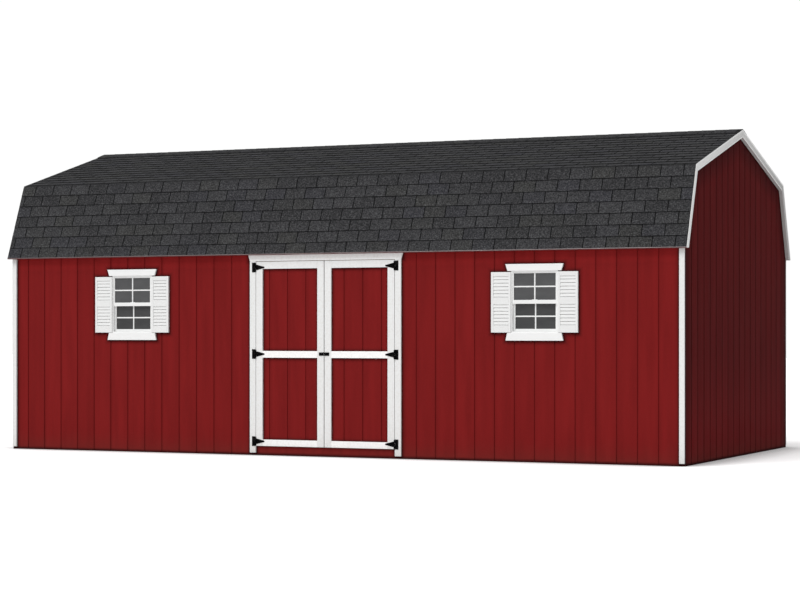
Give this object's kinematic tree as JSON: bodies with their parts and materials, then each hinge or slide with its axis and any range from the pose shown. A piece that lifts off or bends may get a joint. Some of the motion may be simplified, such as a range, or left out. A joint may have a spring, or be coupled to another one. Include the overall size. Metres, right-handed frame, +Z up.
{
  "type": "gambrel barn shed",
  "caption": "Red barn shed with a gambrel shingle roof, white trim, a double door on strap hinges, and sash windows with louvred shutters.",
  "frame": {"origin": "on the ground, under the middle of the building", "axes": "+X along the long walls, to the right as the double door is faced; the door side faces -Y; +Z up"},
  "size_m": [7.419, 3.786, 3.2423],
  "materials": {
    "floor_lumber": "sawn, untreated",
    "floor_plywood": "sanded",
    "red_siding": "painted, satin",
    "framing_lumber": "planed",
    "roof_sheathing": "rough strand board",
    "asphalt_shingle": "mineral granules, matt",
    "white_metal_drip": "satin",
    "white_trim": "painted, satin",
    "white_window": "satin",
    "window_glass": "clear, dark room behind",
    "white_shutter": "satin",
    "black_iron": "powder coat, semi-gloss"
  },
  "bodies": {
    "root": {"corner_trim_front": "white_trim", "corner_trim_rear": "white_trim", "door_header": "framing_lumber", "door_sill": "red_siding", "door_stops": "framing_lumber", "eave_trim": "white_metal_drip", "floor_deck": "floor_plywood", "floor_frame": "floor_lumber", "front_studs": "framing_lumber", "front_wall_left": "red_siding", "front_wall_over_door": "red_siding", "front_wall_right": "red_siding", "gable_studs_left": "framing_lumber", "gable_studs_right": "framing_lumber", "gable_wall_left": "red_siding", "gable_wall_right": "red_siding", "header_trim": "white_trim", "jamb_trim_left": "white_trim", "jamb_trim_right": "white_trim", "knee_gussets": "roof_sheathing", "left_hinge_plates": "black_iron", "left_shutters": "white_shutter", "left_window_frame": "white_window", "left_window_glass": "window_glass", "left_window_sashes": "white_window", "lower_rafters": "framing_lumber", "lower_roof_deck": "roof_sheathing", "rake_trim_left": "white_trim", "rake_trim_right": "white_trim", "rear_studs": "framing_lumber", "rear_wall": "red_siding", "ridge_board": "framing_lumber", "ridge_cap": "asphalt_shingle", "right_hinge_plates": "black_iron", "right_shutters": "white_shutter", "right_window_frame": "white_window", "right_window_glass": "window_glass", "right_window_sashes": "white_window", "shingles_front": "asphalt_shingle", "shingles_rear": "asphalt_shingle", "upper_rafters": "framing_lumber", "upper_roof_deck": "roof_sheathing", "wall_plates": "framing_lumber", "window_framing": "framing_lumber"},
    "left_door": {"left_door_frame": "white_trim", "left_door_hardware": "black_iron", "left_door_panel": "red_siding"},
    "right_door": {"right_door_frame": "white_trim", "right_door_hardware": "black_iron", "right_door_panel": "red_siding"}
  },
  "joints": [
    {"name": "left_door_hinge", "type": "hinge", "parent": "root", "child": "left_door", "pos_m": [-0.762, -1.854, 1], "axis": [0, 0, -1], "range_deg": [0, 175]},
    {"name": "right_door_hinge", "type": "hinge", "parent": "root", "child": "right_door", "pos_m": [0.762, -1.854, 1], "axis": [0, 0, 1], "range_deg": [0, 175]}
  ]
}
